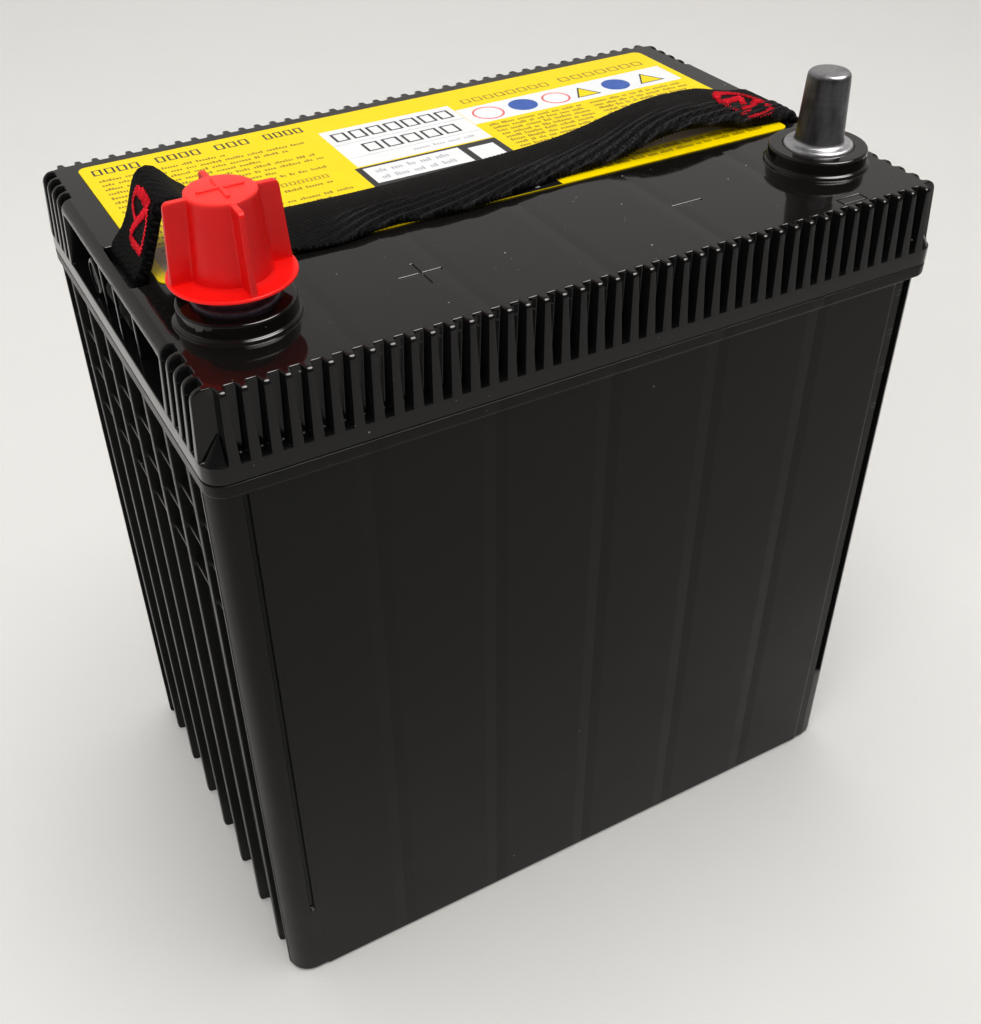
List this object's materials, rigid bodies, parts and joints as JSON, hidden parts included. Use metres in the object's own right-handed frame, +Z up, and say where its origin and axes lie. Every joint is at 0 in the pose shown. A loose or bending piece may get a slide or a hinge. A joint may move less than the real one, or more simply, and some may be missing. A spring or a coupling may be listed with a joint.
{
  "type": "vehicle battery",
  "caption": "Sealed lead-acid vehicle battery in a black ribbed case with round lead posts, a red post cap, a yellow top label and a webbing carry strap.",
  "frame": {"origin": "centre of the underside of the case", "axes": "+Z up, +X along the case towards the negative post, -Y towards the long side that the posts stand near"},
  "size_m": [0.197, 0.129, 0.232],
  "materials": {
    "case_plastic": "satin black moulded polypropylene",
    "lid_plastic": "polished black moulded polypropylene",
    "label_film": null,
    "cap_plastic": "red moulded polyethylene",
    "terminal_lead": "dull cast lead alloy",
    "inner_lead": "dull cast lead alloy",
    "webbing": "black woven polyester webbing",
    "valve_rubber": "black moulded rubber",
    "positive_paste": "dark brown cured lead dioxide paste on a lead grid",
    "negative_paste": "grey sponge lead paste on a lead grid",
    "glass_mat": "white absorbent glass fibre mat",
    "filter": "sintered porous plastic"
  },
  "bodies": {
    "battery": {"container": "case_plastic", "flame_arrestor": "filter", "intercell_weld_1": "inner_lead", "intercell_weld_2": "inner_lead", "intercell_weld_3": "inner_lead", "intercell_weld_4": "inner_lead", "intercell_weld_5": "inner_lead", "lid": "lid_plastic", "negative_pillar": "inner_lead", "negative_plates_1": "negative_paste", "negative_plates_2": "negative_paste", "negative_plates_3": "negative_paste", "negative_plates_4": "negative_paste", "negative_plates_5": "negative_paste", "negative_plates_6": "negative_paste", "negative_post": "terminal_lead", "positive_pillar": "inner_lead", "positive_plates_1": "positive_paste", "positive_plates_2": "positive_paste", "positive_plates_3": "positive_paste", "positive_plates_4": "positive_paste", "positive_plates_5": "positive_paste", "positive_plates_6": "positive_paste", "positive_post": "terminal_lead", "separator_mat_1": "glass_mat", "separator_mat_2": "glass_mat", "separator_mat_3": "glass_mat", "separator_mat_4": "glass_mat", "separator_mat_5": "glass_mat", "separator_mat_6": "glass_mat", "strap_left_end": "webbing", "strap_right_end": "webbing", "top_label": "label_film", "valve_cover": "case_plastic"},
    "cap": {"terminal_cap": "cap_plastic"},
    "strap": {"strap_grip": "webbing"},
    "valve_1": {"safety_valve_1": "valve_rubber"},
    "valve_2": {"safety_valve_2": "valve_rubber"},
    "valve_3": {"safety_valve_3": "valve_rubber"},
    "valve_4": {"safety_valve_4": "valve_rubber"},
    "valve_5": {"safety_valve_5": "valve_rubber"},
    "valve_6": {"safety_valve_6": "valve_rubber"}
  },
  "joints": [
    {"name": "cap_lift", "type": "slide", "parent": "battery", "child": "cap", "axis": [0, 0, 1], "range_m": [0, 0.03]},
    {"name": "strap_lift", "type": "slide", "parent": "battery", "child": "strap", "axis": [0, 0, 1], "range_m": [0, 0.03]},
    {"name": "valve_1_vent", "type": "slide", "parent": "battery", "child": "valve_1", "axis": [0, 0, 1], "range_m": [0, 0.0006], "stiffness_N_per_m": 2000},
    {"name": "valve_2_vent", "type": "slide", "parent": "battery", "child": "valve_2", "axis": [0, 0, 1], "range_m": [0, 0.0006], "stiffness_N_per_m": 2000},
    {"name": "valve_3_vent", "type": "slide", "parent": "battery", "child": "valve_3", "axis": [0, 0, 1], "range_m": [0, 0.0006], "stiffness_N_per_m": 2000},
    {"name": "valve_4_vent", "type": "slide", "parent": "battery", "child": "valve_4", "axis": [0, 0, 1], "range_m": [0, 0.0006], "stiffness_N_per_m": 2000},
    {"name": "valve_5_vent", "type": "slide", "parent": "battery", "child": "valve_5", "axis": [0, 0, 1], "range_m": [0, 0.0006], "stiffness_N_per_m": 2000},
    {"name": "valve_6_vent", "type": "slide", "parent": "battery", "child": "valve_6", "axis": [0, 0, 1], "range_m": [0, 0.0006], "stiffness_N_per_m": 2000}
  ]
}
